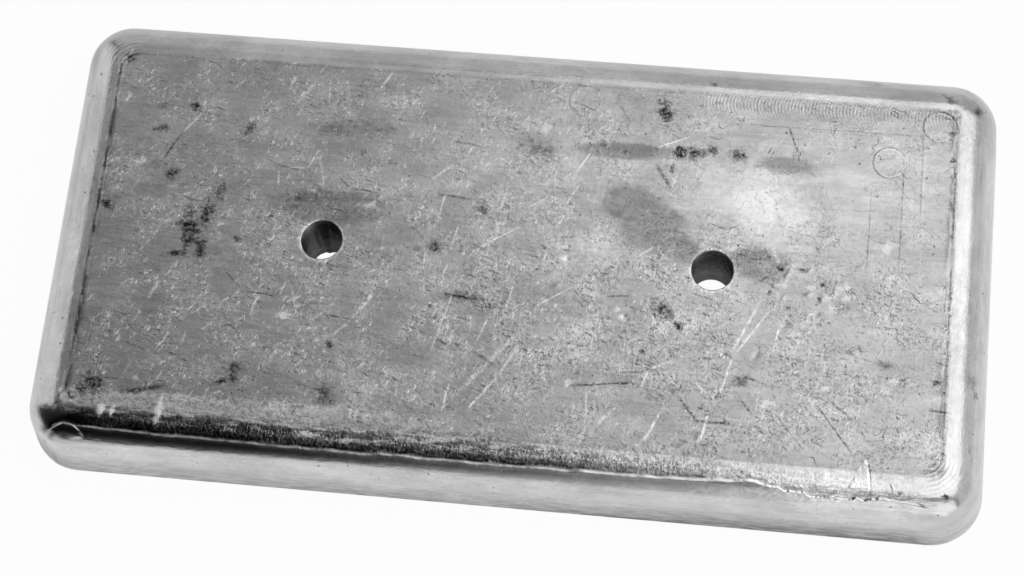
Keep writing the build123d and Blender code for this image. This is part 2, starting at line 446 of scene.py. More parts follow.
def feeder_side(x, y, z):
    """How far each place lies outside the feeder pad, and how torn the edge above it is."""
    edge, front = from_face_edge(x, y, z), along_front(x, y)
    plan = plan_of(front, edge)
    wander = ripple(plan, 2.6 * mm, 2) * 0.40 * mm + ripple(plan, 1.1 * mm, 3) * 0.20 * mm
    wander = ripple(plan, 5.0 * mm, 1) * 0.18 * mm + ragged_share(front) * wander
    end_x = np.abs(front) - (pad_half_length - pad_end_radius)
    end_y = np.interp(front, pad_along, pad_start) + wander + pad_end_radius - edge
    outside = np.where(y < -core_y, outside_box(end_x, end_y, pad_end_radius), 1.0)
    torn = np.interp(front / mm, torn_along, torn_share) * (y < -core_y) * (outside > 0)
    torn *= ramp(edge, -2.5 * mm, 0.5 * mm) * ramp(edge, 9.5 * mm, 6.5 * mm)
    return outside, torn


def die_line(x, y):
    """Distance outside the line round the die's milled floor, which has its cutter's corners."""
    line_radius, inside_face = 5.5 * mm, 0.9 * mm
    past_core = face_reach - inside_face - line_radius
    return outside_box(np.abs(x) - core_x - past_core, np.abs(y) - core_y - past_core, line_radius)


def line_strength(x, y):
    """How clearly the die line shows: well on the short sides, little at the feeder's side."""
    beside = ramp(np.abs(x), core_x - 7 * mm, core_x)
    behind = ramp(y, core_y - 3 * mm, core_y + 1 * mm)
    patchy = np.clip(0.65 + 0.7 * ripple(plan_of(x, y), 9 * mm, 21), 0.15, 1)
    return np.clip(0.02 + 0.88 * beside + 0.3 * behind, 0, 1) * patchy


def flake_sides(y):
    """Where the left and right sides of the three-cornered flake run at each y."""
    low_and_high = np.array((-66.5, -57.0)) * mm
    left = np.interp(y, low_and_high, (108.9 * mm, 114.0 * mm))
    return left, np.interp(y, low_and_high, (115.6 * mm, 114.1 * mm))


def near_flash(x, y, z):
    """True along the flash line at the pad's upper edge."""
    outside = feeder_side(x, y, z)[0]
    return (y < -core_y) & (np.abs(outside + 0.35 * mm) < 1.1 * mm) & (x < 130 * mm)


refine(near_flash)
places = vertex_places()
x, y, z = places.T
edge, front = from_face_edge(x, y, z), along_front(x, y)
way_x, way_y = in_plan(x, y)[1:]
tilt = np.clip(edge / edge_round, 0, pi / 2 - wall_draft)
normal = np.stack([way_x * np.sin(tilt), way_y * np.sin(tilt), np.cos(tilt)], axis=1)
on_face = edge <= 0
normal[on_face] = (0, 0, 1)
faces_front = front_share(x, y)
outside_pad, torn = feeder_side(x, y, z)

# The pad, with a step that softens at its right end, and the flash standing up where it is ragged.
rise = np.full(len(x), -skin)
right_end = ramp(front, 128 * mm, 136 * mm)
proud = np.interp(front, (70 * mm, 100 * mm), (pad_proud, pad_proud_right))
rise += proud * ramp(-outside_pad, 0, 0.85 * mm + right_end * 1.6 * mm)
flash = bell(outside_pad + 0.45 * mm, 0.50 * mm)
rise += faces_front * ragged_share(front) * 0.08 * mm * flash

# At the left the flash line curls back into the pad, where the metal folded over.
curl_radius = 7.1 * mm
curl_x = front + 136.0 * mm
curl_y = edge - 13.3 * mm
curl_turn = np.degrees(np.arctan2(-curl_y, curl_x))
curl_reach = ramp(curl_turn, 15, 40) * ramp(curl_turn, 175, 135)
inside_curl = curl_radius - np.hypot(curl_x, curl_y)
curl = ramp(inside_curl, -0.2 * mm, 0.2 * mm) * ramp(inside_curl, 5 * mm, 0.5 * mm)
rise += 0.24 * mm * curl * curl_reach * faces_front

# The round-over above the pad is torn and crumbled where the feeder was broken off, in shreds
# that run with the edge; the edge itself sank unevenly.
along_edge = plan_of(front / 4, edge)
crests = np.clip(1 - np.abs(ripple(along_edge, 1.5 * mm, 4)) / 0.45, 0, 1)
crests += 0.5 * np.clip(1 - np.abs(ripple(along_edge, 0.8 * mm, 12)) / 0.4, 0, 1)
patches = ramp(1.1 * ripple(plan_of(front, edge * 2), 11 * mm, 13), -0.5, 0.5)
sunk = ripple(plan_of(front / 2, edge), 4.0 * mm, 5) * bell(edge - 1 * mm, 3.5 * mm)
rise += torn * patches * (crests - 0.5) * 0.16 * mm
rise += faces_front * sunk * 0.10 * mm * (1 - right_end)

# The witness line of the die's milled floor: a fine groove with a raised outer lip.
to_line = die_line(x, y)
witness = bell(to_line, 0.35 * mm) * 0.16 * mm - bell(to_line - 0.8 * mm, 0.35 * mm) * 0.09 * mm
rise -= witness * line_strength(x, y) * (0.75 + 0.25 * ripple(places, 12 * mm, 6))

for plunge in plunges:
    away = from_ring(x, y, plunge)
    ring = bell(away + 0.3 * mm, 0.35 * mm) - bell(away - 0.2 * mm, 0.3 * mm)
    rise += on_face * plunge[2] * 0.06 * mm * ring
for lump in lumps:
    rise += lump[5] * mm * bell(from_spot(x, y, lump), 0.75) * (z > wall_top)

# A three-cornered flake, smeared over the edge near the right end and lifted at its right side.
flake_left, flake_right = flake_sides(y)
across_flake = (x - flake_left) / np.maximum(flake_right - flake_left, 0.1 * mm)
on_flake = (across_flake > 0) & (across_flake < 1) & (y > -66.6 * mm) & (y < -57 * mm)
rise += on_flake * (0.06 + 0.20 * across_flake) * mm

# The face sank and waved a little as it cooled.
rise += ripple(places, 38 * mm, 7) * 0.035 * mm + ripple(places, 11 * mm, 8) * 0.012 * mm
rise = np.where(z < 0.2 * mm, np.minimum(rise, -0.1 * mm), rise)
places += normal * rise[:, None]
places[:, 2] = np.clip(places[:, 2], 0, plate_thickness)
put_vertices(places)

# The flat back, with its edge broken all round.
back_break = 0.6 * mm
pick(plate, "EDGE", lambda e: e.is_boundary)
bpy.ops.transform.translate(value=(0, 0, back_break))
bpy.ops.mesh.extrude_edges_move(TRANSFORM_OT_translate={"value": (0, 0, -back_break)})
bpy.ops.transform.resize(
    value=(1 - 2 * back_break / plate_length, 1 - 2 * back_break / plate_width, 1),
    center_override=(0, 0, 0),
)
bpy.ops.mesh.edge_face_add()
bpy.ops.mesh.inset(thickness=1.0 * mm)
bpy.ops.mesh.select_all(action="SELECT")
bpy.ops.mesh.normals_make_consistent(inside=False)
bpy.ops.object.mode_set(mode="OBJECT")


def hold_plate():
    """Makes the plate the only selected object, and the active one."""
    bpy.ops.object.select_all(action="DESELECT")
    plate.select_set(True)
    bpy.context.view_layer.objects.active = plate


# Two through holes for the hull studs, with both mouths deburred.
hole_deburr = 0.3 * mm
hole_facets = 72
drill_overrun = 2 * mm
bore_length = plate_thickness - skin - 2 * hole_deburr
flare = (stud_hole_radius + hole_deburr) / stud_hole_radius
for side in (-1, 1):
    bpy.ops.object.select_all(action="DESELECT")
    bpy.ops.mesh.primitive_cylinder_add(
        vertices=hole_facets,
        radius=stud_hole_radius,
        depth=bore_length,
        location=(side * stud_pitch / 2, 0, hole_deburr + bore_length / 2),
    )
    drill = bpy.context.object
    for end in (-1, 1):
        pick(drill, "FACE", lambda f: f.normal.z * end > 0.9)
        for length, widened in ((hole_deburr, flare), (drill_overrun, 1)):
            bpy.ops.mesh.extrude_region_move(TRANSFORM_OT_translate={"value": (0, 0, end * length)})
            bpy.ops.transform.resize(value=(widened, widened, 1), center_override=drill.location)
    bpy.ops.object.mode_set(mode="OBJECT")
    hold_plate()
    cut = plate.modifiers.new("stud_hole", "BOOLEAN")
    cut.operation = "DIFFERENCE"
    cut.solver = "EXACT"
    cut.object = drill
    bpy.ops.object.modifier_apply(modifier=cut.name)
    bpy.data.objects.remove(drill)

# Casting and drilling leave the mouths a little uneven, and a burr hangs in the left one's back.
places = vertex_places()
x, y, z = places.T
off_wall, hole_turn = from_hole(x, y)
wear = ripple(places, 2.2 * mm, 9) * 0.10 * mm + ripple(places, 0.9 * mm, 10) * 0.05 * mm
places[:, 2] -= bell(off_wall - hole_deburr, 0.7 * mm) * (z > 20 * mm) * np.abs(wear)
burr = bell(hole_turn - radians(95), radians(40)) * (x < 0) * (z < 2 * mm)
burr *= (np.abs(off_wall) < 0.6 * mm) * (0.9 * mm + ripple(places, 1.6 * mm, 11) * 0.6 * mm)
places[:, 0] -= np.cos(hole_turn) * burr
places[:, 1] -= np.sin(hole_turn) * burr
put_vertices(places)

hold_plate()
bpy.ops.object.mode_set(mode="EDIT")
bpy.ops.mesh.select_all(action="SELECT")
bpy.ops.mesh.remove_doubles(threshold=0.005 * mm)
bpy.ops.mesh.select_all(action="DESELECT")
bpy.ops.object.mode_set(mode="OBJECT")
bpy.ops.object.shade_smooth_by_angle(angle=radians(50))

# ----------------------------------------
# Cast aluminium
# Aluminium alloy as it comes out of a milled steel die: a grey skin that took the die's cutter
# marks, brighter where it was rubbed, dull and dark where die dressing and soot stayed on it,
# with painted shade and painted highlights by the flash line, low on the front wall, at the
# stud holes and on burrs.
# ----------------------------------------


def linear(code):
    """An sRGB hex colour as linear red, green, blue and alpha."""
    channels = [int(code[i : i + 2], 16) / 255 for i in (1, 3, 5)]
    return [c / 12.92 if c <= 0.04045 else ((c + 0.055) / 1.055) ** 2.4 for c in channels] + [1]


def add(kind, *values, out=0, **named):
    """Adds a node to tree, with its operation after its kind, and gives back one of its outputs.

    The values go to its inputs in order, None leaving one as it is. A name with a capital is
    an input too, any other is a setting. A value is a number, or the output to link it to.
    """
    kind, *operation = kind.split()
    node = tree.nodes.new("ShaderNode" + kind)
    if operation:
        node.operation = operation[0]
    inputs = dict(enumerate(values))
    for name, value in named.items():
        if name[0].isupper():
            inputs[name] = value
        else:
            setattr(node, name, value)
    for socket, value in inputs.items():
        if isinstance(value, bpy.types.NodeSocket):
            tree.links.new(value, node.inputs[socket])
        elif value is not None:
            node.inputs[socket].default_value = value
    return node.outputs[out]


paint_kinds = {1: ("FLOAT", "value", "Fac"), 3: ("FLOAT_VECTOR", "vector", "Vector")}
read_from = {}  # for each name that was painted, the output of an Attribute node that reads it


def paint(name, *values):
    """Keeps one number or three for each vertex, for the material to read; none on the back."""
    kind, field, read_from[name] = paint_kinds[len(values)]
    values = np.stack(np.broadcast_arrays(*values), axis=1)
    values = np.where(on_back[:, None], 0.0, values)
    layer = plate.data.attributes.new(name, kind, "POINT")
    layer.data.foreach_set(field, values.ravel())


def in_layers(gap, steps=24):
    """Shares the strokes out over layers, so that those on one are more than gap mm apart."""
    layers = []
    for stroke in strokes:
        points = np.linspace(stroke[:2], stroke[2:4], steps)
        for layer in layers:
            others = np.concatenate([np.linspace(o[:2], o[2:4], steps) for o in layer])
            between = points[:, None, :] - others[None, :, :]
            if np.hypot(between[..., 0], between[..., 1]).min() > gap:
                layer.append(stroke)
                break
        else:
            layers.append([stroke])
    return layers


def stroke_field(x, y, layer):
    """For the nearest stroke: half widths to its side, its strength there, and how it wanders."""
    far_off = 9.0
    field = np.zeros((3, len(x)))
    field[0] = far_off
    nearest = np.full(len(x), np.inf)
    for stroke in layer:
        half_width, strength = stroke[4:]
        along, across, length = from_stroke(x, y, stroke)
        from_end = np.minimum(along, length - along)
        away = np.hypot(across, np.minimum(from_end, 0))
        closer = away < nearest
        nearest[closer] = away[closer]
        faded = strength * np.clip(from_end / (0.2 * length), 0, 1) * (away < 1.2)
        field[0, closer] = across[closer] / half_width
        field[1, closer] = faded[closer]
        field[2, closer] = (0.9 if strength < 0 else 0.10) / half_width
    return field


def ring_field(x, y):
    """Distance outside the nearest cutter ring, in mm, and how clearly that ring shows."""
    away = np.array([from_ring(x, y, plunge) for plunge in plunges])
    nearest = np.abs(away).argmin(axis=0)
    distance = np.take_along_axis(away, nearest[None], axis=0)[0]
    strength = np.array([plunge[2] for plunge in plunges])[nearest]
    return distance / mm, strength * (np.abs(distance) < 1.2 * mm)


def spots_on(x, y):
    """How far inside a spot each place lies, from 0 to 1, and how dark the spots near it are."""
    inside, weight, darkness = np.zeros(len(x)), np.full(len(x), 1e-9), np.zeros(len(x))
    for spot in spots:
        away = from_spot(x, y, spot)
        inside = np.maximum(inside, 1 - away / 1.6)
        share = bell(away, 0.9)
        weight += share
        darkness += share * spot[5]
    return inside, darkness / weight


places = vertex_places()
x, y, z = places.T
on_back = z < 0.05 * mm
on_top = z > wall_top
edge, front = from_face_edge(x, y, z), along_front(x, y)
outside_pad, torn = feeder_side(x, y, z)
off_wall, hole_turn = from_hole(x, y)
faces_front = front_share(x, y)
paint("rim_place", along_rim(x, y) / mm, edge / mm, x / 25 / mm)

# The torn edge above the pad, painted shade in the hollows on both sides of the flash line, and the
# line, painted as a highlight.
paint("torn", torn)
paint("dulled", torn * np.interp(front / mm, (-20, 50, 70), (1, 0, -0.6)))
crevice_shade = bell(outside_pad - 1.4 * mm, 1.5 * mm) * ramp(front, 100 * mm, 0)
under_line = np.interp(front / mm, (-150, -60, 60, 100), (1.1, 1.0, 0.35, 0))
crevice_shade += under_line * bell(outside_pad + 2.1 * mm, 1.1 * mm)
above_wall = faces_front * ramp(edge, 15 * mm, 11 * mm)
paint("crevice_shade", crevice_shade * above_wall)
# The flash line carries a painted highlight.
line_left = ramp(front, -134 * mm, -126 * mm) * ramp(front, 95 * mm, 70 * mm)
paint("flash_line_highlight", bell(outside_pad + 0.35 * mm, 0.45 * mm) * above_wall * line_left)

flake_left, flake_right = flake_sides(y)
in_flake = np.minimum(x - flake_left, flake_right - x) / mm
in_flake = np.minimum(in_flake, np.minimum(y / mm + 66.8, -56.8 - y / mm))
flake = ramp(in_flake, -0.2, 0.3)
gritty = np.interp(front / mm, (-120, -20, 40, 90), (1.0, 0.9, 0.8, 0.55))
paint("flake", flake)
paint("gritty", torn * (1 - flake) * gritty)

# Where soot and dressing gathered, in the die line and over the torn edge, and painted shade
# along the pad's edge and low on the front wall.
to_line = die_line(x, y)
soot_and_shade = bell(to_line + 0.3 * mm, 1.0 * mm) * ramp(-x, 128 * mm, 133 * mm)
soot_and_shade += 0.6 * bell(to_line + 1.0 * mm, 1.0 * mm) * ramp(x, 128 * mm, 133 * mm)
over_edge = np.interp(front / mm, (-144, -134, -50, 0, 50, 135), (0, 0.9, 1.0, 0.8, 0.35, 0))
soot_and_shade += bell(edge - 2.8 * mm, 3.0 * mm) * over_edge * (y < 0)
past_middle = np.interp(front, (40 * mm, 100 * mm), (1, 0.3))
# A thin line of painted shade just above the pad's edge.
soot_and_shade += bell(outside_pad - 0.45 * mm, 0.5 * mm) * faces_front * past_middle * (front < 138 * mm)
soot_and_shade = np.clip(soot_and_shade, 0, 1) * on_top
# Low on the front wall: painted shade, for the shaded floor that the wall mirrors.
paint("soot_and_shade", soot_and_shade + 0.38 * ramp(edge, 25 * mm, 31 * mm) * faces_front)
# Painted shade low on the front wall, standing for the shaded floor that the wall mirrors.
low_wall_shade = ramp(edge, 25.5 * mm, 28.5 * mm) * (0.25 + 0.75 * ramp(front, -60 * mm, 80 * mm))
paint("low_wall_shade", low_wall_shade * faces_front * ramp(front, 138 * mm, 130 * mm))

# What the die's cutter left: its lines, rings, arcs round two corners and scallops.
paint("die_line", to_line / mm, line_strength(x, y) * on_top, 0.0)
paint("rings", *ring_field(x, y), 0.0)
past_x = np.abs(x) - (core_x + face_reach - 6.4 * mm)
past_y = np.abs(y) - (core_y + face_reach - 6.4 * mm)
in_corner = ramp(past_x, 0, 3 * mm) * ramp(past_y, 0, 3 * mm) * (x * y < 0)
paint("corner_arcs", in_corner * bell(to_line - 1 * mm, 4.5 * mm))
scallops = bell(y - 58 * mm, 3.5 * mm) * ramp(x, 50 * mm, 62 * mm)
scallops += 0.7 * bell(y + 58.5 * mm, 2.5 * mm) * ramp(x, -15 * mm, -35 * mm)
paint("scallops", scallops * ramp(edge, 0.4 * mm, -0.6 * mm))

# A broad oval where the face is made brighter, and how much the skin was worked: bell-shaped ovals,
# given as the spots are.
paint("broad_brightening", bell(from_spot(x, y, (30, 22, 82, 34, 0)), 1.0))
worked = 0.64 + 0.44 * bell(from_spot(x, y, (10, -20, 90, 45, 0)), 1.0)
paint("worked", worked - 0.45 * bell(from_spot(x, y, (95, 35, 55, 32, 0)), 1.0))

# The single marks, on the face and the round-over but not on the mouths of the holes.
stroke_layers = in_layers(4.0)
clear_face = on_top & (off_wall > 0.25 * mm)
for index, layer in enumerate(stroke_layers):
    across_stroke, strength, wander = stroke_field(x, y, layer)
    paint(f"strokes_{index}", across_stroke, strength * clear_face, wander)
inside_spot, spot_darkness = spots_on(x, y)
paint("inside_spot", inside_spot * clear_face)
paint("spot_darkness", spot_darkness)
stained = np.array([ramp(from_spot(x, y, stain), 1.5, 0.5) * stain[5] for stain in stains])
paint("stain", np.maximum(stained.max(axis=0), 0), np.maximum(-stained.min(axis=0), 0), 0.0)

# The stud holes: their walls in painted shade, a painted highlight down each, and painted
# highlights on the rims of their mouths.
in_bore = off_wall < 0.2 * mm
paint("bore_shade", in_bore * 1.0)
paint("bore_highlight", bell(hole_turn - radians(142), 0.42) * in_bore * on_top)
paint("hole_rim_highlight", bell(off_wall - 0.5 * mm, 0.4 * mm) * on_top)

metal = bpy.data.materials.new("die_cast_aluminium")
metal.use_nodes = True
tree = metal.node_tree
shader = tree.nodes["Principled BSDF"]
painted = {name: add("Attribute", out=out, attribute_name=name) for name, out in read_from.items()}

object_place = add("TexCoord", out="Object")
place = add("VectorMath SCALE", object_place, Scale=1000.0)  # in millimetres
rim = painted["rim_place"]
from_edge = add("SeparateXYZ", rim, out="Y")

# Busy places, where the skin is rough and marked, and smooth ones between them.
busy_noise = add("TexNoise", Vector=place, Scale=1 / 14, Detail=2.0, Roughness=0.6)
busy = add("MapRange", busy_noise, 0.40, 0.60, 0.28, 1.05)
busy = add("Math MULTIPLY", busy, painted["worked"])

# Layers of stretched noise, read across the face and along the rim: length and width in mm, turn
# in degrees, thresholds, what each does to the tone on the face and on the rim and to the relief
# on the face and on the rim, and whether it keeps to the busy places.
layers = [
    (36, 22, 12, 0.35, 0.65, 0.08, 0.08, 0.0, 0.0, False),  # clouds in the skin
    (12, 5, 2, 0.35, 0.65, 0.09, 0.06, 0.9, 0.5, False),  # mottling where metal met the die
    (1.6, 1.1, 0, 0.30, 0.70, 0.20, 0.10, 0.9, 0.35, True),  # the grain of the skin
    (0.8, 0.5, 80, 0.54, 0.68, -0.36, 0.0, -0.8, 0.0, True),  # dark specks in its pores
    (6, 3, 20, 0.56, 0.70, -0.12, -0.04, 0.0, 0.0, True),  # smudges of dressing
    (2.6, 1.2, 50, 0.59, 0.69, 0.32, 0.0, 1.8, 0.0, True),  # high places, rubbed bright
    (2.0, 0.8, 130, 0.62, 0.71, -0.42, 0.0, -1.8, 0.0, True),  # small dents, with dirt in them
    (26, 0.9, 1, 0.52, 0.76, -0.05, -0.04, 0.0, 0.0, False),  # passes of the die's cutter
    (5, 0.45, 87, 0.54, 0.76, 0.13, 0.0, 0.0, 0.0, True),  # brushing across the plate
    (3, 0.9, -14, 0.63, 0.76, -0.28, -0.05, -0.8, 0.0, True),  # short dull nicks
    (9, 0.4, 66, 0.74, 0.79, 0.16, 0.0, 0.0, 0.0, False),  # fine bright scratches
]
off_face = add("MapRange", from_edge, -0.4, 0.6, interpolation_type="SMOOTHSTEP")
past_edge = add("Math GREATER_THAN", from_edge, 0.0)
followed = add("Mix", past_edge, None, None, None, place, rim, out=1, data_type="VECTOR")
sums = [0.0] * 4  # in the order of the amounts
for length, width, turn, low, high, *amounts, keeps in layers:
    lie, size = (0, 0, radians(turn)), (length, width, width)
    laid = add("Mapping", followed, Rotation=lie, Scale=size, vector_type="TEXTURE")
    detail = 3.0 if length < 3 * width else 0.5
    noisy = add("TexNoise", Vector=laid, Scale=1.0, Detail=detail, Roughness=0.65)
    shown = add("MapRange", noisy, low, high, interpolation_type="SMOOTHSTEP")
    if keeps:
        shown = add("Math MULTIPLY", shown, busy)
    for i, amount in enumerate(amounts):
        if amount:
            sums[i] = add("Math MULTIPLY_ADD", shown, amount, sums[i])
face_tone, rim_tone, face_relief, rim_relief = sums

# Cold-shut wrinkles: fine dark lines that wander over the face and break off.
wrinkle_field = add(
    "TexNoise", Vector=place, Scale=1 / 11, Detail=2.5, Roughness=0.6, Distortion=0.8
)
wrinkle_off = add("Math SUBTRACT", wrinkle_field, 0.5)
wrinkle_far = add("Math ABSOLUTE", wrinkle_off)
wrinkle_line = add("MapRange", wrinkle_far, 0.007, 0.0)
wrinkle_room = add("TexNoise", Vector=place, Scale=1 / 9, Detail=1.0)
wrinkle_here = add("MapRange", wrinkle_room, 0.55, 0.64)
on_face_only = add("Math SUBTRACT", 1.0, off_face)
wrinkle_here = add("Math MULTIPLY", wrinkle_here, on_face_only)
wrinkles = add("Math MULTIPLY", wrinkle_line, wrinkle_here)

# Gas pits and specks of dressing, up to half a millimetre across, in a few places only.
pits = add("TexVoronoi", Vector=place, Scale=1 / 4.0)
pit_holes = add("MapRange", pits, 0.12, 0.06, interpolation_type="SMOOTHSTEP")
pit_here = add("MapRange", wrinkle_room, 0.50, 0.42)
pit_holes = add("Math MULTIPLY", pit_holes, pit_here)

# Scratches and cracks, and two painted shadow lines, are painted as distances, and drawn here: each
# wanders and breaks off.
grain = add("TexNoise", Vector=place, Scale=1 / 0.9, Detail=2.0, Roughness=0.6)
grain_shown = add("MapRange", grain, 0.40, 0.60)
wander_noise = add("TexNoise", Vector=place, Scale=1 / 2.6, Detail=4.0, Roughness=0.7)
wander = add("Math SUBTRACT", wander_noise, 0.5)
marks = 0.0
for index in range(len(stroke_layers)):
    part = add("SeparateXYZ", painted[f"strokes_{index}"]).node.outputs
    aside = add("Math MULTIPLY_ADD", wander, part[2], part[0])
    aside = add("Math ABSOLUTE", aside)
    drawn = add("MapRange", aside, 1.7, 0.4)
    marks = add("Math MULTIPLY_ADD", drawn, part[1], marks)
worn = add("MapRange", grain, 0.36, 0.52, 0.1, 1.0)
marks = add("Math MULTIPLY", marks, worn)

# Soiled spots: burnt dressing in grains, thick in the middle and scattered at the outline; the
# bright ones on burrs are painted highlights.
blotches = add("TexNoise", Vector=place, Scale=1 / 3.0, Detail=5.0, Roughness=0.8)
outline = add("Math MULTIPLY_ADD", blotches, 2.2, painted["inside_spot"])
outline = add("Math MULTIPLY_ADD", grain_shown, 0.35, outline)
soiled_and_highlit = add("MapRange", outline, 1.55, 2.15, interpolation_type="SMOOTHSTEP")
thick = add("MapRange", grain, 0.38, 0.62, 1.50, 0.35)
soiled_and_highlit = add("Math MULTIPLY", soiled_and_highlit, thick)
soiled_and_highlit = add("Math MULTIPLY", soiled_and_highlit, painted["spot_darkness"])

# Wiped stains and polished places: soft, with cloudy outlines.
stained = add("SeparateXYZ", painted["stain"]).node.outputs
wiped = add("Math MULTIPLY_ADD", blotches, -1.1, stained[0])
wiped = add("MapRange", wiped, -0.38, 0.30, interpolation_type="SMOOTHSTEP")
polished = add("Math MULTIPLY", blotches, stained[1])

# Torn metal is crumbled and gritty.
crumbled = add("Math MULTIPLY", blotches, painted["torn"])
grit = add("MapRange", grain, 0.40, 0.60, -0.5, 0.5)
grit = add("Math MULTIPLY", grit, painted["gritty"])

# Scallops: arcs about a millimetre apart, left by the last pass of the die's ball cutter.
across, along = (add("SeparateXYZ", place, out=axis) for axis in "XY")
off_pass = add("Math SUBTRACT", along, 58.0)
off_pass = add("Math POWER", off_pass, 2.0)
arc = add("Math MULTIPLY_ADD", off_pass, -0.09, across)
arc = add("Math MULTIPLY", arc, 2 * pi / 1.1)
scallop_wave = add("Math SINE", arc)
scallop_room = add("MapRange", blotches, 0.42, 0.55)
scallop_here = add("Math MULTIPLY", painted["scallops"], scallop_room)
scallops = add("Math MULTIPLY", scallop_wave, scallop_here)

# The flash line's painted highlight, brighter in some places than in others.
uneven = add("MapRange", blotches, 0.38, 0.62, 0.3, 1.25)
flash_line_highlight = add("Math MULTIPLY", painted["flash_line_highlight"], uneven)

# Torn metal above the feeder pad: dull flecks that lie along the edge, over soot and painted shade.
fleck_place = add("Mapping", rim, Scale=(7.0, 1.5, 1.0), vector_type="TEXTURE")
fleck_noise = add("TexNoise", Vector=fleck_place, Scale=1.0, Detail=1.5, Roughness=0.6)
sooty_and_shaded = add("MapRange", fleck_noise, 0.56, 0.44, interpolation_type="SMOOTHSTEP")
sooty_and_shaded = add("Math MULTIPLY", sooty_and_shaded, painted["soot_and_shade"])
fleck_noise = add("Math MULTIPLY_ADD", from_edge, -0.022, fleck_noise)
flecks = add("MapRange", fleck_noise, 0.47, 0.63, interpolation_type="SMOOTHSTEP")
flecks = add("Math MULTIPLY", flecks, painted["torn"])
open_place = add("Math SUBTRACT", 1.0, painted["crevice_shade"])
flecks = add("Math MULTIPLY", flecks, open_place)

# Painted shade low on the front wall, with streaks along it, for the shaded floor that it mirrors.
low_wall_shade = add("MapRange", fleck_noise, 0.0, -0.35, 0.7, 1.3)
low_wall_shade = add("Math MULTIPLY", low_wall_shade, painted["low_wall_shade"])

# Arcs of the cutter's passes, round two of the corners.
arc_across = add("SeparateXYZ", painted["die_line"], out="X")
arc_across = add("Math MULTIPLY_ADD", wander, 1.2, arc_across)
arc_across = add("Math MULTIPLY", arc_across, 2 * pi / 1.4)
corner_arcs = add("Math SINE", arc_across)
corner_arcs = add("Math MULTIPLY", corner_arcs, painted["corner_arcs"])

# The tone and the relief of the skin, with what each mark adds to them.
# Painted highlights on the rims of the stud holes, worn away in places.
hole_rim_highlight = add("Math MULTIPLY", painted["hole_rim_highlight"], worn)
tone = add("Mix", off_face, None, face_tone, rim_tone)
relief = add("Mix", off_face, None, face_relief, rim_relief)
# Among these are painted shade beside the flash line, low on the front wall and in the stud holes,
# and painted highlights on the flash line, on burrs and at the stud holes.
for amount, tone_by, relief_by in (
    (off_face, 0.16, 0.0), (wrinkles, -0.22, -1.5), (pit_holes, -0.28, -1.5), (marks, 0.60, 0.0),
    (soiled_and_highlit, -0.50, 0.0), (scallops, 0.10, 0.4), (hole_rim_highlight, 0.30, 0.0), (flecks, 0.05, 0.8),
    (crumbled, 0.0, 4.0), (grit, 0.26, 1.1), (wiped, -0.25, 0.0), (polished, 0.34, 0.0),
    (painted["dulled"], -0.14, 0.0), (painted["crevice_shade"], -0.50, 0.0), (flash_line_highlight, 0.34, 0.0),
    (sooty_and_shaded, -0.40, 0.0), (painted["broad_brightening"], 0.12, 0.0), (low_wall_shade, -0.27, 0.0),
    (corner_arcs, 0.11, 0.4), (painted["flake"], 0.40, 0.0), (painted["bore_shade"], -0.50, 0.0),
    (painted["bore_highlight"], 0.55, 0.0),
):
    tone = add("Math MULTIPLY_ADD", amount, tone_by, tone)
    if relief_by:
        relief = add("Math MULTIPLY_ADD", amount, relief_by, relief)

# Lines milled in the die: the one round its floor is a dark groove with a rubbed bright edge
# either side, the rings where the cutter plunged are finer.
for name, middle, reach_out, tone_by in (
    ("die_line", 0.0, 0.45, -0.34), ("die_line", -0.8, 0.45, 0.12), ("die_line", 0.8, 0.55, 0.18),
    ("rings", 0.0, 0.34, -0.26), ("rings", -0.5, 0.34, 0.12),
):
    part = add("SeparateXYZ", painted[name]).node.outputs
    aside = add("Math MULTIPLY_ADD", wander, 0.5, part[0])
    aside = add("Math SUBTRACT", aside, middle)
    aside = add("Math ABSOLUTE", aside)
    drawn = add("MapRange", aside, reach_out, 0.0, interpolation_type="SMOOTHSTEP")
    drawn = add("Math MULTIPLY", drawn, part[1])
    drawn = add("Math MULTIPLY", drawn, worn)
    tone = add("Math MULTIPLY_ADD", drawn, tone_by, tone)
tone = add("Math ADD", tone, 0.57)

skin_colour = add("ValToRGB", tone)
stops = skin_colour.node.color_ramp.elements
for position, code in ((0.25, "#6c6c6c"), (0.5, "#a0a0a0"), (0.75, "#cccccc")):
    stops.new(position).color = linear(code)
stops[0].color, stops[-1].color = linear("#303030"), linear("#fafafa")
tree.links.new(skin_colour, shader.inputs["Base Color"])

# The face scatters light more than the smooth round-over and walls do, torn metal most of all.
matte_to = add("Math MULTIPLY_ADD", wander, -9.0, from_edge)
roughness = add("MapRange", matte_to, 0.0, 3.0, 0.36, 0.22)
roughness = add("Math MULTIPLY_ADD", flecks, 0.34, roughness)
scuffed = add("MapRange", soiled_and_highlit, 0.0, -1.0, 0.0, 0.30)
roughness = add("Math ADD", roughness, scuffed)
roughness = add("Math MULTIPLY_ADD", painted["bore_shade"], 0.20, roughness)
roughness = add("Math MULTIPLY_ADD", flash_line_highlight, 0.16, roughness)
tree.links.new(roughness, shader.inputs["Roughness"])
bumped = add("Bump", Strength=1.0, Distance=0.06 * mm, Height=relief, out="Normal")
tree.links.new(bumped, shader.inputs["Normal"])
shader.inputs["Metallic"].default_value = 1.0
plate.data.materials.clear()
plate.data.materials.append(metal)
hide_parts("anode_plate")
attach(plate, "root")

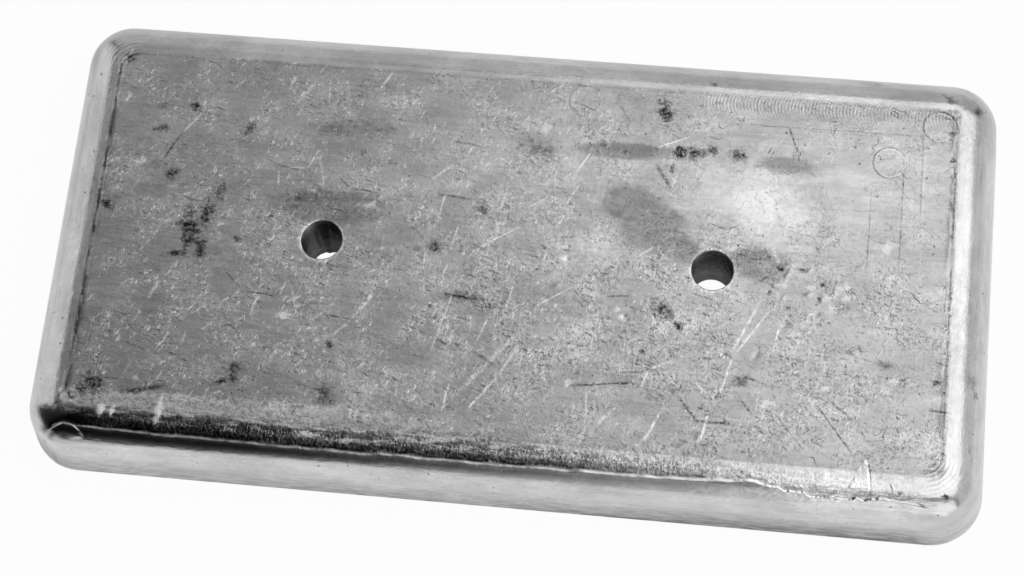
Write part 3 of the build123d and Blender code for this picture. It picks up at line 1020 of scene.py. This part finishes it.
# ----------------------------------------
# Floor
# A sheet of white paper under the casting. What the casting mirrors of it is painted
# darker at its foot, and darker still behind it and past its ends: painted shade.
# ----------------------------------------
bpy.ops.object.select_all(action="DESELECT")
bpy.ops.mesh.primitive_plane_add(size=6.0, location=(0, 0, -0.2 * mm))
floor = bpy.context.object
floor.name = "studio_floor"
paper = bpy.data.materials.new("white_paper_sweep")
paper.use_nodes = True
tree = paper.node_tree
paper_shader = tree.nodes["Principled BSDF"]
paper_shader.inputs["Base Color"].default_value = linear("#f2f2f2")
paper_shader.inputs["Roughness"].default_value = 0.9
rays = add("LightPath").node.outputs
floor_place = add("SeparateXYZ", add("TexCoord", out="Object")).node.outputs
past_sides = []
for part, plate_size in zip(floor_place, (plate_length, plate_width)):
    from_middle = add("Math ABSOLUTE", part)
    past_sides.append(add("Math SUBTRACT", from_middle, plate_size / 2))
beside = add("Math MAXIMUM", *past_sides)
# Painted shade in what the metal mirrors: the paper's glow falls off at the casting's foot, behind
# it and past its ends.
foot_shade = add("MapRange", beside, 0.0, 8 * mm, 0.36, 0.58)
behind = add("MapRange", floor_place[1], 50 * mm, 90 * mm, 1.0, 0.48)
sides = add("MapRange", past_sides[0], 0.0, 40 * mm, 1.0, 0.70)
mirrored = foot_shade
for share in (behind, sides, rays["Is Glossy Ray"]):
    mirrored = add("Math MULTIPLY", mirrored, share)
glow_share = add("Math MULTIPLY_ADD", rays["Is Camera Ray"], 0.96, mirrored)
glow = add("Emission", linear("#ffffff"))
lit_paper = add("MixShader", glow_share, paper_shader.outputs[0], glow)
tree.links.new(lit_paper, tree.nodes["Material Output"].inputs["Surface"])
floor.data.materials.append(paper)

# ----------------------------------------
# Lights
# Large softboxes over and round the table, in a room that is dark towards the
# camera's left, which is what the shiny edges of the casting pick up.
# ----------------------------------------
world = bpy.data.worlds.new("dark_studio_room")
world.use_nodes = True
bpy.context.scene.world = world
tree = world.node_tree
walls = tree.nodes["Background"]
walls.inputs["Color"].default_value = linear("#161616")
backdrop = add("Background", linear("#fefefe"))
seen = add("LightPath", out="Is Camera Ray")
room = add("MixShader", seen, walls.outputs[0], backdrop)
tree.links.new(room, tree.nodes["World Output"].inputs["Surface"])


def softbox(name, place, aim, size, brightness):
    """A flat lamp at place that faces aim; brightness is that of its face, where 1 is white."""
    lamp = bpy.data.lights.new(name, "AREA")
    lamp.shape = "RECTANGLE"
    lamp.size, lamp.size_y = size
    lamp.energy = brightness * pi * size[0] * size[1]
    holder = bpy.data.objects.new(name, lamp)
    holder.location = place
    holder.rotation_mode = "QUATERNION"
    holder.rotation_quaternion = (Vector(aim) - Vector(place)).to_track_quat("-Z", "Y")
    bpy.context.collection.objects.link(holder)


softbox("overhead_right", (0.75, 0.0, 1.2), (0.75, 0.0, 0), (1.5, 2.2), 1.35)
softbox("overhead_left", (-0.35, 0.75, 1.2), (-0.35, 0.75, 0), (0.8, 0.9), 0.38)
softbox("front_right", (0.85, -1.3, 0.5), (0.85, 0.0, 0.5), (1.4, 1.0), 1.2)
softbox("right_side", (1.5, 0.1, 0.6), (0, 0.1, 0.6), (2.2, 1.2), 0.58)
softbox("front_middle", (-0.02, -1.3, 0.5), (-0.02, 0.0, 0.5), (0.34, 1.0), 0.35)
softbox("left_side", (-1.1, 0.5, 0.7), (0, 0.5, 0.7), (1.1, 1.4), 0.70)
softbox("back_side", (0.1, 1.25, 0.6), (0.1, 0, 0.6), (2.4, 1.2), 0.5)

# ----------------------------------------
# Camera
# High over the front of the plate, a little to its right, rolled so that the
# long sides fall off to the right.
# ----------------------------------------
camera_azimuth = radians(14.77)
camera_elevation = radians(69.95)
camera_roll = radians(9.32)
camera_distance = 787.2 * mm
camera_aim = Vector((-2.5 * mm, -1.6 * mm, 0))
back = Vector((
    sin(camera_azimuth) * cos(camera_elevation),
    -cos(camera_azimuth) * cos(camera_elevation),
    sin(camera_elevation),
))
lens = bpy.data.cameras.new("camera")
lens.lens = 84.42
lens.sensor_width = 36.0
camera = bpy.data.objects.new("camera", lens)
bpy.context.collection.objects.link(camera)
camera.location = camera_aim + back * camera_distance
camera.rotation_mode = "QUATERNION"
camera.rotation_quaternion = Quaternion(back, -camera_roll) @ (-back).to_track_quat("-Z", "Y")
bpy.context.scene.camera = camera
bpy.context.scene.view_settings.view_transform = "Standard"
